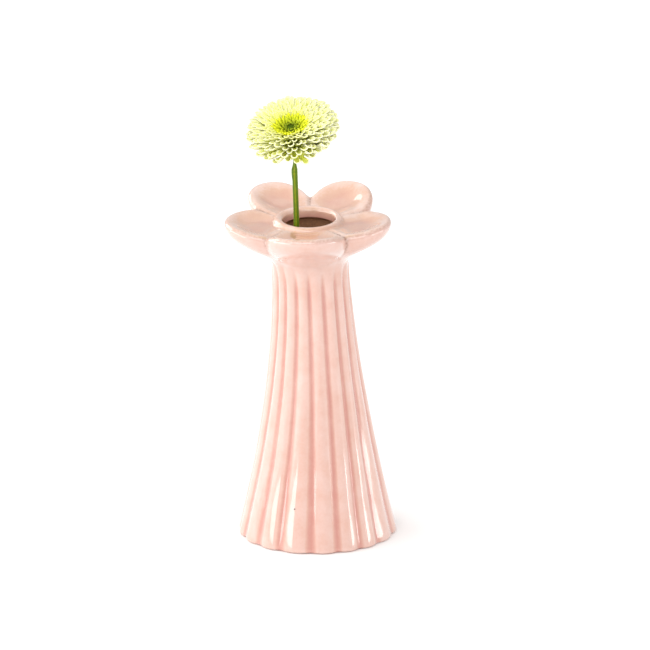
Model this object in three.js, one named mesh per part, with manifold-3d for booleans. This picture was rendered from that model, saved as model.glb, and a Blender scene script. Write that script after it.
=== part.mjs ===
// A glazed bud vase shaped like a flower, with one cut daisy-type chrysanthemum standing in it.
// Millimetres, +Z up. The origin is the middle of the vase's flat foot, and the front faces -Y.
import * as THREE from "three";
import { mergeVertices } from "three/addons/utils/BufferGeometryUtils.js";
import Module from "manifold-3d";

const DEGREE = Math.PI / 180;
const GAP = 0.3;

// Column: its radius falls from the foot to the waist along one power curve.
const FOOT_RADIUS = 43.2;
const WAIST_RADIUS = 20.7;
const WAIST_HEIGHT = 148;
const FLARE_POWER = 1.64;
const FOOT_ROUNDING = 1.6;
const RIBS = 18;
const COLUMNS_PER_RIB = 5;
const GROOVE_DEPTH = 1.4;
const GROOVE_FADE_START = 138;
const GROOVE_FADE_END = 158;
const GROOVE_SHARPNESS = 6;
const TWIST_AT_FOOT = -7.8;
// How far each groove was cut off its even place at the foot, in degrees, anticlockwise from the front.
const GROOVE_DRIFT = [
  2.9, 2.9, 0.8, -1.7, 1.2, -0.6, 1.4, -2.1, 0.7,
  1.8, -1.2, 0.5, -1.6, 1.1, 0.4, -3.1, -1.4, -1.9,
];

// The top leans a little to the left of the foot.
const LEAN = 3.2;
const LEAN_START = 45;
const LEAN_POWER = 1.6;

// Flange of five round petals, anticlockwise from the front: direction, radius and lift at the tip, and how
// far the rim dips in the valley between this petal and the next.
const PETALS = [
  { angle: -93, radius: 21.5, lift: 3.2, valley: 2.4 },
  { angle: -18, radius: 20, lift: 1.2, valley: 2.5 },
  { angle: 52, radius: 17.8, lift: 6.2, valley: 2.2 },
  { angle: 121, radius: 17.2, lift: 5.2, valley: 0.8 },
  { angle: 198, radius: 20, lift: 1.2, valley: 2.4 },
];
const VALLEY_HALF_ANGLE = 15 * DEGREE;
const PETAL_REACH = 45.6;
const NOTCH_RADIUS = 32;
const UNDERSIDE_START = 150;
const FLANGE_FLOOR = 172.4;
const RIM_RISE = 3.4;
const RIM_WIDTH = 2;
const RIM_HEIGHT = 2.4;
const DISH_REACH = 13;
const NOTCH_INSET = 2;
const CREASE_DEPTH = 0.9;
const CREASE_HALF_ANGLE = 2.6 * DEGREE;
const FLANGE_TILT = 5 * DEGREE;

// Collar round the mouth, the short neck under it and the hollow below. The mouth sits a little off centre.
const COLLAR_RADIUS = 16.2;
const COLLAR_TUBE = 2.2;
const COLLAR_HEIGHT = 173.2;
const COLLAR_FOOT_RADIUS = 19.4;
const MOUTH_SHIFT = 0.6;
const NECK_RADIUS = 13.8;
const NECK_BOTTOM = 169.8;
const HOLLOW_TOP = 168.6;
const HOLLOW_TOP_RADIUS = 17.2;
const WALL = 3.8;
const FLOOR_THICKNESS = 6;
const FLOOR_ROUNDING = 5;

// Flower head: its middle, and how far its axis nods forward and to the left.
const HEAD_CENTRE = new THREE.Vector3(-9.8, -15, 217.4);
const NOD_FORWARD = 20 * DEGREE;
const NOD_LEFT = 8 * DEGREE;
const GOLDEN_ANGLE = Math.PI * (3 - Math.sqrt(5));
const RAY_FLORETS = 210;
const SEPARATE_FLORETS = 54;
const RAY_LOWEST = 74 * DEGREE;
const RAY_HIGHEST = 37 * DEGREE;
const RAY_CROWDING = 0.8;
const RAY_TIP = 28.2;
const RAY_LONGEST = 60 * DEGREE;
const RAY_SHORTENING = 50;
const LOW_RAY_SHORTENING = 60;
const RAY_LONGER_RIGHT = 0.7;
const RAY_LONGER_DEPTH = 1.1;
// Kinds of floret from the lowest row inwards: how many of them, their width, and how far the tip curls
// towards the head's axis or, below zero, away from it.
const FLORET_KINDS = [
  { count: SEPARATE_FLORETS, width: 3.3, curl: 2.2 },
  { count: 76, width: 3.1, curl: -1.4 },
  { count: 80, width: 2.7, curl: -3.2 },
];
const CURL_POWER = 2.4;
const FLORET_BASE_WIDTH = 0.8;
const FLORET_THICKNESS = 1.1;
const FLORET_SIDES = 6;
const JOINED_FLORET_SIDES = 4;
const RECEPTACLE_RADIUS = 7.1;
const RECEPTACLE_BOTTOM = -3.2;
const CORE_RADIUS = 18.6;
const CORE_ANGLE = 37;
const EYE_RADIUS = 1.9;
const EYE_BOTTOM = 12.8;
const EYE_TOP = 14.6;
const BRACT_COUNT = 13;
const BRACT_THICKNESS = 0.8;

// Stem: round, leaning on the neck at the front left and standing on the floor of the hollow.
const STEM_RADIUS = 1.5;
const STEM_X = -9.2;
const STEM_FOOT_Y = 6;
const STEM_NECK_Y = -9.8;
const STEM_NECK_Z = 175;

const COLUMNS = RIBS * COLUMNS_PER_RIB;
const FRONT = -Math.PI / 2;

function smoothstep(low, high, value) {
  return THREE.MathUtils.smoothstep(value, low, high);
}

// Vase

function columnRadius(z) {
  const climb = Math.max(0, 1 - z / WAIST_HEIGHT);
  return WAIST_RADIUS + (FOOT_RADIUS - WAIST_RADIUS) * climb ** FLARE_POWER;
}

function leanAt(z) {
  const climb = Math.max(0, z - LEAN_START) / (COLLAR_HEIGHT - LEAN_START);
  return -LEAN * climb ** LEAN_POWER;
}

// The angle where the outlines of a petal and of the next one cross.
function notchAngle(index) {
  let low = PETALS[index].angle * DEGREE;
  let high = nextAngle(index);
  const next = (index + 1) % PETALS.length;
  while (high - low > 1e-9) {
    const middle = (low + high) / 2;
    const onThisPetal = petalEdge(PETALS[index], middle, 0) > petalEdge(PETALS[next], middle, 0);
    if (onThisPetal) low = middle;
    else high = middle;
  }
  return low;
}

function nextAngle(index) {
  const wrapped = index + 1 === PETALS.length;
  return (PETALS[(index + 1) % PETALS.length].angle + (wrapped ? 360 : 0)) * DEGREE;
}

// Distance from the axis to a line inside one petal's outline by an inset, or 0 where the petal isn't met.
function petalEdge(petal, angle, inset) {
  const turn = angle - petal.angle * DEGREE;
  const centre = PETAL_REACH - petal.radius;
  const square = (petal.radius - inset) ** 2 - (centre * Math.sin(turn)) ** 2;
  return square > 0 && Math.cos(turn) > 0 ? centre * Math.cos(turn) + Math.sqrt(square) : 0;
}

const NOTCHES = PETALS.map((petal, index) => notchAngle(index));

// Where a mesh column crosses the flange: its angle, its angle from the nearest notch and its lift.
function flangeColumn(column) {
  const share = (column / COLUMNS) * PETALS.length;
  const index = Math.floor(share);
  const along = share - index;
  const start = PETALS[index].angle * DEGREE;
  const notch = NOTCHES[index];
  const angle =
    along < 0.5
      ? THREE.MathUtils.lerp(start, notch, 2 * along)
      : THREE.MathUtils.lerp(notch, nextAngle(index), 2 * along - 1);
  const petal = PETALS[index];
  const next = PETALS[(index + 1) % PETALS.length];
  const lift = THREE.MathUtils.lerp(petal.lift, next.lift, smoothstep(0.25, 0.75, along));
  return { angle, lift, valley: petal.valley, offNotch: Math.abs(angle - notch) };
}

// The angle of a mesh column at a height: it follows the hand-cut grooves below and the petals above.
function columnAngle(column, z) {
  const share = column / COLUMNS_PER_RIB;
  const rib = Math.floor(share) % RIBS;
  const drift = THREE.MathUtils.lerp(GROOVE_DRIFT[rib], GROOVE_DRIFT[(rib + 1) % RIBS], share % 1);
  const below = FRONT + (column / COLUMNS) * 2 * Math.PI + (TWIST_AT_FOOT + drift) * DEGREE;
  return THREE.MathUtils.lerp(below, flangeColumn(column).angle, smoothstep(0, WAIST_HEIGHT, z));
}

// How deep the flute is at a mesh column, from 0 on a rib's crest to 1 in a groove.
function flute(column) {
  const across = (column % COLUMNS_PER_RIB) / COLUMNS_PER_RIB;
  return Math.abs(Math.cos(Math.PI * across)) ** GROOVE_SHARPNESS;
}

// How deep the skin lies under the ribs' crests at a mesh column and a height: the grooves fade out on top.
function grooveDepth(column, z) {
  return GROOVE_DEPTH * (1 - smoothstep(GROOVE_FADE_START, GROOVE_FADE_END, z)) * flute(column);
}

// Distance from the axis to the line that runs inside the flange's outline by an inset.
function outlineRadius(angle, inset) {
  const edges = PETALS.map((petal) => petalEdge(petal, angle, inset));
  return Math.max(NOTCH_RADIUS - inset, ...edges);
}

// How far inside its petal's edge a point of the flange lies. The notch line counts as an edge too.
function petalDepth(radius, { angle, offNotch }) {
  const depths = PETALS.map((petal) => {
    const turn = angle - petal.angle * DEGREE;
    const centre = PETAL_REACH - petal.radius;
    return petal.radius - Math.hypot(radius * Math.cos(turn) - centre, radius * Math.sin(turn));
  });
  const inside = Math.max(NOTCH_RADIUS - radius, ...depths);
  return Math.min(inside, radius * Math.sin(offNotch) + NOTCH_INSET);
}

// Height of the flange's upper face: a dish inside each petal's rim, with a crease and a valley between petals.
function dishHeight(radius, place) {
  const rim = 1 - smoothstep(RIM_WIDTH, DISH_REACH, petalDepth(radius, place));
  const outward = smoothstep(COLLAR_FOOT_RADIUS, 32, radius);
  const reach = (radius - COLLAR_FOOT_RADIUS) / (PETAL_REACH - COLLAR_FOOT_RADIUS);
  const crease = CREASE_DEPTH * Math.exp(-((place.offNotch / CREASE_HALF_ANGLE) ** 2));
  const valley = place.valley * outward * Math.exp(-((place.offNotch / VALLEY_HALF_ANGLE) ** 2));
  return FLANGE_FLOOR + RIM_RISE * rim * (0.5 + 0.5 * outward) + place.lift * reach - crease - valley;
}

// Each row of the vase's skin is a function of the mesh column that gives a radius and a height.
function footRows() {
  const turns = [0, 45, 90];
  return turns.map((turn) => (column) => {
    const z = FOOT_ROUNDING * (1 - Math.cos(turn * DEGREE));
    const inset = FOOT_ROUNDING * (1 - Math.sin(turn * DEGREE)) + GROOVE_DEPTH * flute(column);
    return { radius: columnRadius(FOOT_ROUNDING) - inset, z };
  });
}

function columnRows() {
  const heights = [14, 28, 44, 62, 80, 98, 114, 128, 140];
  return heights.map((z) => (column) => {
    return { radius: columnRadius(z) - grooveDepth(column, z), z };
  });
}

function undersideRows() {
  const steps = [0, 0.2, 0.4, 0.6, 0.8, 0.92];
  return steps.map((t) => (column) => {
    const place = flangeColumn(column);
    const edge = outlineRadius(place.angle, 0);
    const crest = dishHeight(outlineRadius(place.angle, RIM_WIDTH), place);
    const curve = new THREE.CubicBezierCurve(
      new THREE.Vector2(WAIST_RADIUS, UNDERSIDE_START),
      new THREE.Vector2(WAIST_RADIUS + 0.4, UNDERSIDE_START + 9),
      new THREE.Vector2(edge - 1.6, crest - RIM_HEIGHT - 12),
      new THREE.Vector2(edge, crest - RIM_HEIGHT),
    );
    const { x, y } = curve.getPoint(t);
    return { radius: x - grooveDepth(column, y), z: y, tilt: t };
  });
}

function rimRows() {
  const turns = [0, 30, 60, 90];
  return turns.map((turn) => (column) => {
    const place = flangeColumn(column);
    const inset = RIM_WIDTH * (1 - Math.cos(turn * DEGREE));
    const crest = dishHeight(outlineRadius(place.angle, RIM_WIDTH), place);
    return {
      radius: outlineRadius(place.angle, inset),
      z: crest - RIM_HEIGHT * (1 - Math.sin(turn * DEGREE)),
      tilt: 1,
    };
  });
}

function dishRows() {
  const steps = [0.14, 0.3, 0.46, 0.62, 0.8, 1];
  return steps.map((t) => (column) => {
    const place = flangeColumn(column);
    const radius = THREE.MathUtils.lerp(outlineRadius(place.angle, RIM_WIDTH), COLLAR_FOOT_RADIUS, t);
    return { radius, z: dishHeight(radius, place), tilt: 1 };
  });
}

function collarRows() {
  const turns = [0, 45, 90, 135, 180];
  return turns.map((turn) => () => ({
    radius: COLLAR_RADIUS + COLLAR_TUBE * Math.cos(turn * DEGREE),
    z: COLLAR_HEIGHT + COLLAR_TUBE * Math.sin(turn * DEGREE),
    tilt: 1,
    shift: (1 - Math.cos(turn * DEGREE)) / 2,
  }));
}

function hollowRows() {
  const corner = FLOOR_THICKNESS + FLOOR_ROUNDING;
  const cornerRadius = columnRadius(corner) - WALL;
  const wall = [150, 120, 90, 60, 32].map((z) => ({ radius: columnRadius(z) - WALL, z }));
  const rows = [
    { radius: NECK_RADIUS, z: NECK_BOTTOM, tilt: 1, shift: 1 },
    { radius: HOLLOW_TOP_RADIUS, z: HOLLOW_TOP, tilt: 1 },
    { radius: HOLLOW_TOP_RADIUS, z: HOLLOW_TOP - 6, tilt: 0.7 },
    ...wall,
    { radius: cornerRadius, z: corner },
    { radius: cornerRadius - 0.3 * FLOOR_ROUNDING, z: corner - 0.7 * FLOOR_ROUNDING },
    { radius: cornerRadius - FLOOR_ROUNDING, z: FLOOR_THICKNESS },
  ];
  return rows.map((row) => () => row);
}

function vaseGeometry() {
  const rows = [
    () => ({ radius: 0, z: 0 }),
    ...footRows(),
    ...columnRows(),
    ...undersideRows(),
    ...rimRows(),
    ...dishRows(),
    ...collarRows(),
    ...hollowRows(),
    () => ({ radius: 0, z: FLOOR_THICKNESS }),
  ];
  const profile = rows.map((row) => {
    const { radius, z } = row(0);
    return new THREE.Vector2(radius, z);
  });
  const geometry = new THREE.LatheGeometry(profile, COLUMNS);
  const position = geometry.getAttribute("position");
  for (let column = 0; column <= COLUMNS; column++) {
    rows.forEach((row, index) => {
      const { radius, z, tilt = 0, shift = 0 } = row(column % COLUMNS);
      const angle = columnAngle(column % COLUMNS, z);
      const x = radius * Math.cos(angle) + shift * MOUTH_SHIFT;
      const y = radius * Math.sin(angle);
      const height = z + tilt * y * Math.tan(FLANGE_TILT);
      position.setXYZ(column * rows.length + index, x + leanAt(z), y, height);
    });
  }
  return geometry;
}

// Flower

// Places a piece of the head, made with its axis along Z, on the nodding axis of the flower.
function headMatrix() {
  const turn = new THREE.Matrix4().makeRotationFromEuler(new THREE.Euler(NOD_FORWARD, -NOD_LEFT, 0, "YXZ"));
  return turn.setPosition(HEAD_CENTRE);
}

// A lathe about Z from points of radius and height that run from the bottom of the axis to its top.
function turned(points, sides) {
  const profile = points.map(([radius, z]) => new THREE.Vector2(radius, z));
  return new THREE.LatheGeometry(profile, sides).rotateX(Math.PI / 2);
}

function stemGeometry() {
  const head = new THREE.Vector3(0, 0, RECEPTACLE_BOTTOM - 3 * GAP).applyMatrix4(headMatrix());
  const lean = (STEM_NECK_Y - STEM_FOOT_Y) / (STEM_NECK_Z - FLOOR_THICKNESS);
  const alongStraight = (z) => new THREE.Vector3(STEM_X, STEM_FOOT_Y + lean * (z - FLOOR_THICKNESS), z);
  const foot = alongStraight(FLOOR_THICKNESS + 2 * GAP);
  const path = new THREE.CatmullRomCurve3([
    foot,
    alongStraight(60),
    alongStraight(120),
    alongStraight(STEM_NECK_Z),
    alongStraight(STEM_NECK_Z).lerp(head, 0.5),
    head,
  ]);
  const section = new THREE.Shape().absarc(0, 0, STEM_RADIUS, 0, 2 * Math.PI);
  return new THREE.ExtrudeGeometry(section, { extrudePath: path, steps: 26, curveSegments: 5 });
}

// The cup of green scales under the head: a thin flared shell round the receptacle, with a pointed edge.
function bractsGeometry() {
  const outside = [
    [STEM_RADIUS + 0.8, -4.3],
    [3.2, -4.1],
    [6.2, -2.7],
    [7.8, -1.4],
    [8.6, -0.6],
  ];
  const inside = outside.map(([radius, z]) => [radius - 0.35, z + BRACT_THICKNESS]).reverse();
  inside[inside.length - 1][0] = outside[0][0];
  const profile = [...outside, ...inside, outside[0]];
  const geometry = turned(profile, BRACT_COUNT * 2);
  const position = geometry.getAttribute("position");
  for (let i = 0; i < position.count; i++) {
    const x = position.getX(i);
    const y = position.getY(i);
    const radius = Math.hypot(x, y);
    const edge = smoothstep(6.2, 8.6, radius);
    const point = Math.abs(Math.sin((Math.atan2(y, x) * BRACT_COUNT) / 2));
    const scale = 1 - 0.06 * edge * point;
    position.setXYZ(i, x * scale, y * scale, position.getZ(i) - 0.5 * edge * point);
  }
  return geometry.applyMatrix4(headMatrix());
}

// Angle of a ray floret's tip from the head's axis: the rows crowd closer towards the middle.
function rayAngle(index) {
  const share = ((index + 0.5) / RAY_FLORETS) ** RAY_CROWDING;
  return Math.acos(THREE.MathUtils.lerp(Math.cos(RAY_LOWEST), Math.cos(RAY_HIGHEST), share));
}

// Distance from the head's middle to a floret's tip: the lowest and the innermost florets are shorter,
// and the ones on the right, at the front and at the back a little longer.
function rayTip(angle, turn) {
  const shorter =
    RAY_SHORTENING * (angle - RAY_LONGEST) ** 2 + LOW_RAY_SHORTENING * Math.max(0, angle - RAY_LONGEST) ** 2;
  const longer = RAY_LONGER_RIGHT * Math.cos(turn) + RAY_LONGER_DEPTH * Math.sin(turn) ** 2;
  return RAY_TIP - shorter + longer;
}

function floretKind(index) {
  let end = 0;
  return FLORET_KINDS.find(({ count }) => {
    end += count;
    return index < end;
  });
}

// One ray floret: narrow where it grows from the receptacle, wide and rounded at its spoon-like tip.
function floretGeometry(index, start, sides) {
  const angle = rayAngle(index);
  const turn = index * GOLDEN_ANGLE;
  const length = rayTip(angle, turn) - start;
  const { width, curl } = floretKind(index);
  const outline = [
    [0, 0],
    [0.02, FLORET_BASE_WIDTH],
    [0.45, 0.5 * width],
    [0.8, width],
    [0.95, 0.62 * width],
    [1, 0],
  ];
  const geometry = turned(
    outline.map(([share, across]) => [across / 2, share * length]),
    sides,
  );
  const position = geometry.getAttribute("position");
  const flatness = FLORET_THICKNESS / width;
  for (let i = 0; i < position.count; i++) {
    const share = position.getZ(i) / length;
    const thin = THREE.MathUtils.lerp(1, flatness, smoothstep(0, 0.6, share));
    position.setX(i, position.getX(i) * thin - curl * Math.max(0, share) ** CURL_POWER);
  }
  // The foot leans so that the curled tip comes to the floret's own angle.
  geometry.rotateY(Math.atan(curl / length));
  geometry.translate(0, 0, start);
  geometry.rotateY(angle);
  geometry.rotateZ(turn);
  return geometry.applyMatrix4(headMatrix());
}

// A lathe point at a distance from the head's middle and an angle in degrees from the head's axis.
function polar(distance, degrees) {
  return [distance * Math.sin(degrees * DEGREE), distance * Math.cos(degrees * DEGREE)];
}

// The receptacle that every floret grows from, with the tight young florets of the middle as one dome.
function coreGeometry() {
  const points = [
    [0, RECEPTACLE_BOTTOM],
    [2.2, RECEPTACLE_BOTTOM + 0.1],
    [5.6, -1],
    ...[90, 70, 50].map((degrees) => polar(RECEPTACLE_RADIUS, degrees)),
    polar(9, CORE_ANGLE + 4),
    polar(CORE_RADIUS - 2, CORE_ANGLE),
    polar(CORE_RADIUS, CORE_ANGLE - 3),
    polar(16.6, 24),
    polar(14.8, 12),
    [EYE_RADIUS + GAP, EYE_BOTTOM - GAP],
    [0, EYE_BOTTOM - GAP],
  ];
  return turned(points, 24).applyMatrix4(headMatrix());
}

function eyeGeometry() {
  const points = [
    [0, EYE_BOTTOM],
    [EYE_RADIUS, EYE_BOTTOM + 0.2],
    [0.8 * EYE_RADIUS, EYE_TOP - 0.5],
    [0, EYE_TOP],
  ];
  return turned(points, 12).applyMatrix4(headMatrix());
}

// Joining

const wasm = await Module();
wasm.setup();

function toSolid(geometry) {
  const bare = geometry.index ? geometry.toNonIndexed() : geometry.clone();
  bare.deleteAttribute("normal");
  bare.deleteAttribute("uv");
  const merged = mergeVertices(bare, 1e-4);
  return new wasm.Manifold(
    new wasm.Mesh({
      numProp: 3,
      vertProperties: merged.getAttribute("position").array,
      triVerts: new Uint32Array(merged.index.array),
    }),
  );
}

function toGeometry(solid) {
  const mesh = solid.getMesh();
  return new THREE.BufferGeometry()
    .setAttribute("position", new THREE.BufferAttribute(mesh.vertProperties, 3))
    .setIndex(new THREE.BufferAttribute(mesh.triVerts, 1));
}

// The inner florets crowd together, so they are one piece with the receptacle.
function innerHeadGeometry() {
  let solid = toSolid(coreGeometry());
  for (let index = SEPARATE_FLORETS; index < RAY_FLORETS; index++) {
    const floret = floretGeometry(index, RECEPTACLE_RADIUS - 2 * GAP, JOINED_FLORET_SIDES);
    solid = solid.add(toSolid(floret));
  }
  return toGeometry(solid);
}

// Materials

const glaze = new THREE.MeshStandardMaterial({ color: 0xf2c8b8, roughness: 0.12, metalness: 0 });
const stalkSkin = new THREE.MeshStandardMaterial({ color: 0x6f9a1c, roughness: 0.5, metalness: 0 });
const bractSkin = new THREE.MeshStandardMaterial({ color: 0x7f9f3a, roughness: 0.6, metalness: 0 });
const rayPetal = new THREE.MeshStandardMaterial({ color: 0xf6f4d2, roughness: 0.55, metalness: 0 });
const youngPetal = new THREE.MeshStandardMaterial({ color: 0xc8d41c, roughness: 0.55, metalness: 0 });
const eyeBud = new THREE.MeshStandardMaterial({ color: 0x3f5f14, roughness: 0.6, metalness: 0 });

function named(name, geometry, material) {
  const mesh = new THREE.Mesh(geometry, material);
  mesh.name = name;
  return mesh;
}

const flower = new THREE.Group();
flower.add(named("stem", stemGeometry(), stalkSkin));
flower.add(named("bracts", bractsGeometry(), bractSkin));
flower.add(named("inner_head", innerHeadGeometry(), youngPetal));
flower.add(named("eye", eyeGeometry(), eyeBud));
for (let index = 0; index < SEPARATE_FLORETS; index++) {
  const name = "ray_floret_" + String(index + 1).padStart(2, "0");
  const floret = floretGeometry(index, RECEPTACLE_RADIUS + GAP, FLORET_SIDES);
  flower.add(named(name, floret, rayPetal));
}

const part = new THREE.Group();
part.add(named("vase", vaseGeometry(), glaze));
part.add(flower);

export default part;
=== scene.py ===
"""A cut double daisy standing in a fluted ceramic bud vase, modelled and finished over its CAD frame."""
import math
import random
from collections import namedtuple
from functools import lru_cache, partial

import bpy
from bpy.props import FloatProperty, FloatVectorProperty, IntProperty, PointerProperty
from bpy.types import Operator, Panel, PropertyGroup
from mathutils import Matrix, Vector, noise


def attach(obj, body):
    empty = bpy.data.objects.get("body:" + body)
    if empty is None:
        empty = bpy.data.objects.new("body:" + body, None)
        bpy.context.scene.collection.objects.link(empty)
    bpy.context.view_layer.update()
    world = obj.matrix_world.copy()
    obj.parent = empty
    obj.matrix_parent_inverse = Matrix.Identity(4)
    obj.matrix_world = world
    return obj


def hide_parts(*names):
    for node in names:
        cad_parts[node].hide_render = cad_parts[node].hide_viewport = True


bl_info = {
    "name": "Daisy Stem in Vase",
    "version": (1, 0, 0),
    "blender": (4, 5, 0),
    "location": "3D View > Sidebar > Daisy Vase",
    "description": "Models a double daisy on a bare stem in a fluted bud vase",
    "category": "Object",
}

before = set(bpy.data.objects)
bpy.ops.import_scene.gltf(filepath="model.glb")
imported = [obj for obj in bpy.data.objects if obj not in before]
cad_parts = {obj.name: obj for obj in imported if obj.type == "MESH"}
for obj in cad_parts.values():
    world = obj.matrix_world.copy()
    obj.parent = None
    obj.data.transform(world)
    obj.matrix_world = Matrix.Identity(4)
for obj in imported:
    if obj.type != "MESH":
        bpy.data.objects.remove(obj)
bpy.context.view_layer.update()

MM = 0.001
DEGREE = math.pi / 180
FRONT = -math.pi / 2


def linear(code):
    """The linear colour of an sRGB hex value."""
    shares = [int(code[i : i + 2], 16) / 255 for i in (0, 2, 4)]
    return [s / 12.92 if s <= 0.04045 else ((s + 0.055) / 1.055) ** 2.4 for s in shares]


def length(name, description, millimetres):
    """A size that the user can change, shown as a length."""
    return FloatProperty(name=name, description=description, default=millimetres * MM, min=0.0, unit="LENGTH")


def tilt(name, description, degrees):
    """A tilt that the user can change, shown as an angle."""
    return FloatProperty(name=name, description=description, default=degrees * DEGREE, unit="ROTATION")


def colour(name, description, code):
    """A colour that the user can change, given as an sRGB hex value."""
    return FloatVectorProperty(
        name=name, description=description, subtype="COLOR", size=3, min=0.0, max=1.0, default=linear(code)
    )


def brightness(name, description, level):
    """A light's brightness that the user can change, where 1 is plain white."""
    return FloatProperty(name=name, description=description, default=level, min=0.0)


class VaseSizes(PropertyGroup):
    foot_radius: length("Foot radius", "Radius over the ribs at the foot", 43.2)
    waist_radius: length("Waist radius", "Radius where the column is narrowest", 20.7)
    waist_height: length("Waist height", "Height where the column is narrowest", 148)
    groove_depth: length("Groove depth", "Depth of the grooves between the ribs", 1.6)
    petal_reach: length("Petal reach", "Distance from the axis to the tip of a flange petal", 45.6)
    collar_radius: length("Collar radius", "Radius of the rounded collar at the middle of its roll", 16.2)
    wall: length("Wall", "Thickness of the column's wall", 3.8)
    ribs: IntProperty(name="Ribs", description="Number of ribs round the column", default=18, min=3)


class FlowerSizes(PropertyGroup):
    petal_reach: length("Petal reach", "Distance from the head's middle to the longest petal's tip", 28.2)
    petal_width: length("Petal width", "Width of an outer petal across its spoon", 3.5)
    petal_thickness: length("Petal thickness", "Thickness of a petal's blade", 0.68)
    stem_radius: length("Stem radius", "Radius of the bare stem", 1.5)
    nod_forward: tilt("Nod forward", "Tilt of the head to the front", 20)
    nod_left: tilt("Nod left", "Tilt of the head to the left", 8)


class GlazeColours(PropertyGroup):
    thin: colour("Thin glaze", "Glaze stretched thin over ribs and rims", "DAB7AC")
    body: colour("Glaze", "Glaze at its usual thickness", "D5AA9A")
    rim: colour("Rim glaze", "Glaze stretched thin over the flange's rims", "E2C4B9")
    peach: colour("Flange glaze", "Warmer glaze on top of the flange and collar", "D6AA93")
    pooled: colour("Pooled glaze", "Glaze gathered thick in grooves", "C6897C")
    stain: colour("Crease stain", "Clay showing through in the pinched creases", "966954")
    speck: colour("Iron speck", "The one dark speck in the glaze", "4A2A22")
    # Painted shade: the dark brown clay inside the hollow stands for the shade deep in it.
    clay: colour("Bare clay", "Unglazed clay inside the hollow", "AC7C5A")


class PlantColours(PropertyGroup):
    petal_tip: colour("Petal tip", "Blade of an opened petal", "DAD9B8")
    # Painted light: the petal feet and channels are a brighter lime than the cream tips, to light the shaded
    # depths of the head.
    petal_foot: colour("Petal foot", "Foot of a petal, deep in the head", "F2F67E")
    petal_throat: colour("Petal throat", "Middle of a petal's channel", "E2E87C")
    half_grown: colour("Half-grown tip", "Tips of the petals between the opened and the young ones", "E2E196")
    young_tip: colour("Young tip", "Tips of the young petals in the middle", "D2D414")
    young_foot: colour("Young foot", "Feet of the young petals", "B4C010")
    bud_tip: colour("Bud tip", "Tips of the tight buds round the eye", "8A9A0C")
    eye: colour("Eye", "Unopened buds in the middle", "3A4E00")
    stem: colour("Stem", "Skin of the stem", "486200")
    # Painted highlight: the stem's raised ribs and grain are coloured paler, as if catching the light.
    stem_streak: colour("Stem streak", "Raised ribs of the stem", "7A8200")
    bract: colour("Bracts", "Green scales under the head", "A2B650")
    bract_tip: colour("Bract tips", "Papery tips of the scales", "C3CE8A")


class StageLight(PropertyGroup):
    floor: colour("Table", "Pale table top", "EEEDEC")
    glow: brightness("Table glow", "Light that the table gives off", 0.12)
    sky: brightness("Fill", "Even white fill from all round", 0.7)
    left_low: brightness("Left window", "Wide low window on the left", 3.6)
    left_high: brightness("Left skylight", "High window on the left", 0.93)
    left_back: brightness("Back left window", "Window behind on the left", 2.3)
    right: brightness("Right window", "Low narrow window on the right", 5.0)
    lamp: brightness("Right lamp", "Small low lamp on the right", 8.0)
    front: brightness("Front softbox", "Softbox over the camera", 2.6)
    flower: FloatProperty(
        name="Flower light",
        description="Power of the narrow beam on the flower",
        default=110,
        min=0.0,
        unit="POWER",
    )
    top: brightness("Overhead softbox", "Wide softbox overhead", 0.42)


# Small helpers for modelling


def smoothstep(low, high, value):
    """0 below low, 1 above high and a smooth rise between them."""
    share = min(1.0, max(0.0, (value - low) / (high - low)))
    return share * share * (3 - 2 * share)


def lerp(start, end, share):
    """The value that lies a share of the way from start to end."""
    return start + (end - start) * share


def deselect_all():
    if bpy.context.mode != "OBJECT":
        bpy.ops.object.mode_set(mode="OBJECT")
    bpy.ops.object.select_all(action="DESELECT")


def pick(piece):
    """Makes a piece the only selected one and the active one."""
    deselect_all()
    piece.select_set(True)
    bpy.context.view_layer.objects.active = piece


def edit(piece):
    """Opens a piece in edit mode with all of it selected."""
    pick(piece)
    bpy.ops.object.mode_set(mode="EDIT")
    bpy.ops.mesh.select_all(action="SELECT")


def extrude(offset):
    """Pulls what is selected out by an offset."""
    bpy.ops.mesh.extrude_region_move(TRANSFORM_OT_translate={"value": offset})


def close_shell():
    """Closes seams and poles, points every face outwards and leaves edit mode."""
    bpy.ops.mesh.select_all(action="SELECT")
    bpy.ops.mesh.remove_doubles(threshold=0.001 * MM)
    bpy.ops.mesh.normals_make_consistent(inside=False)
    bpy.ops.object.mode_set(mode="OBJECT")


def draw_line(name, points):
    """A mesh line drawn point by point, left in object mode. Its vertices keep the order of the points."""
    deselect_all()
    bpy.ops.mesh.primitive_plane_add(size=MM, location=(0, 0, 0))
    piece = bpy.context.object
    piece.name = name
    bpy.ops.object.mode_set(mode="EDIT")
    bpy.ops.mesh.merge(type="CENTER")
    bpy.ops.transform.translate(value=points[0])
    for here, there in zip(points, points[1:]):
        extrude(Vector(there) - Vector(here))
    bpy.ops.object.mode_set(mode="OBJECT")
    return piece


def spin_line(piece, steps):
    """Spins a line right round the Z axis and closes its seam and poles."""
    edit(piece)
    bpy.ops.mesh.spin(steps=steps, angle=2 * math.pi, center=(0, 0, 0), axis=(0, 0, 1))
    close_shell()


def apply_modifier(piece, kind, **settings):
    """Adds a modifier with its settings and applies it."""
    pick(piece)
    bpy.ops.object.modifier_add(type=kind)
    modifier = piece.modifiers[-1]
    for key, value in settings.items():
        setattr(modifier, key, value)
    bpy.ops.object.modifier_apply(modifier=modifier.name)


def smooth(piece, levels):
    """Subdivides a piece and shades it smooth."""
    if levels:
        apply_modifier(piece, "SUBSURF", levels=levels, render_levels=levels, use_limit_surface=False)
    pick(piece)
    bpy.ops.object.shade_smooth()


def set_values(piece, name, values):
    """Stores one number for each vertex, for the materials to read."""
    attribute = piece.data.attributes.get(name) or piece.data.attributes.new(name, "FLOAT", "POINT")
    attribute.data.foreach_set("value", list(values))


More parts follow.
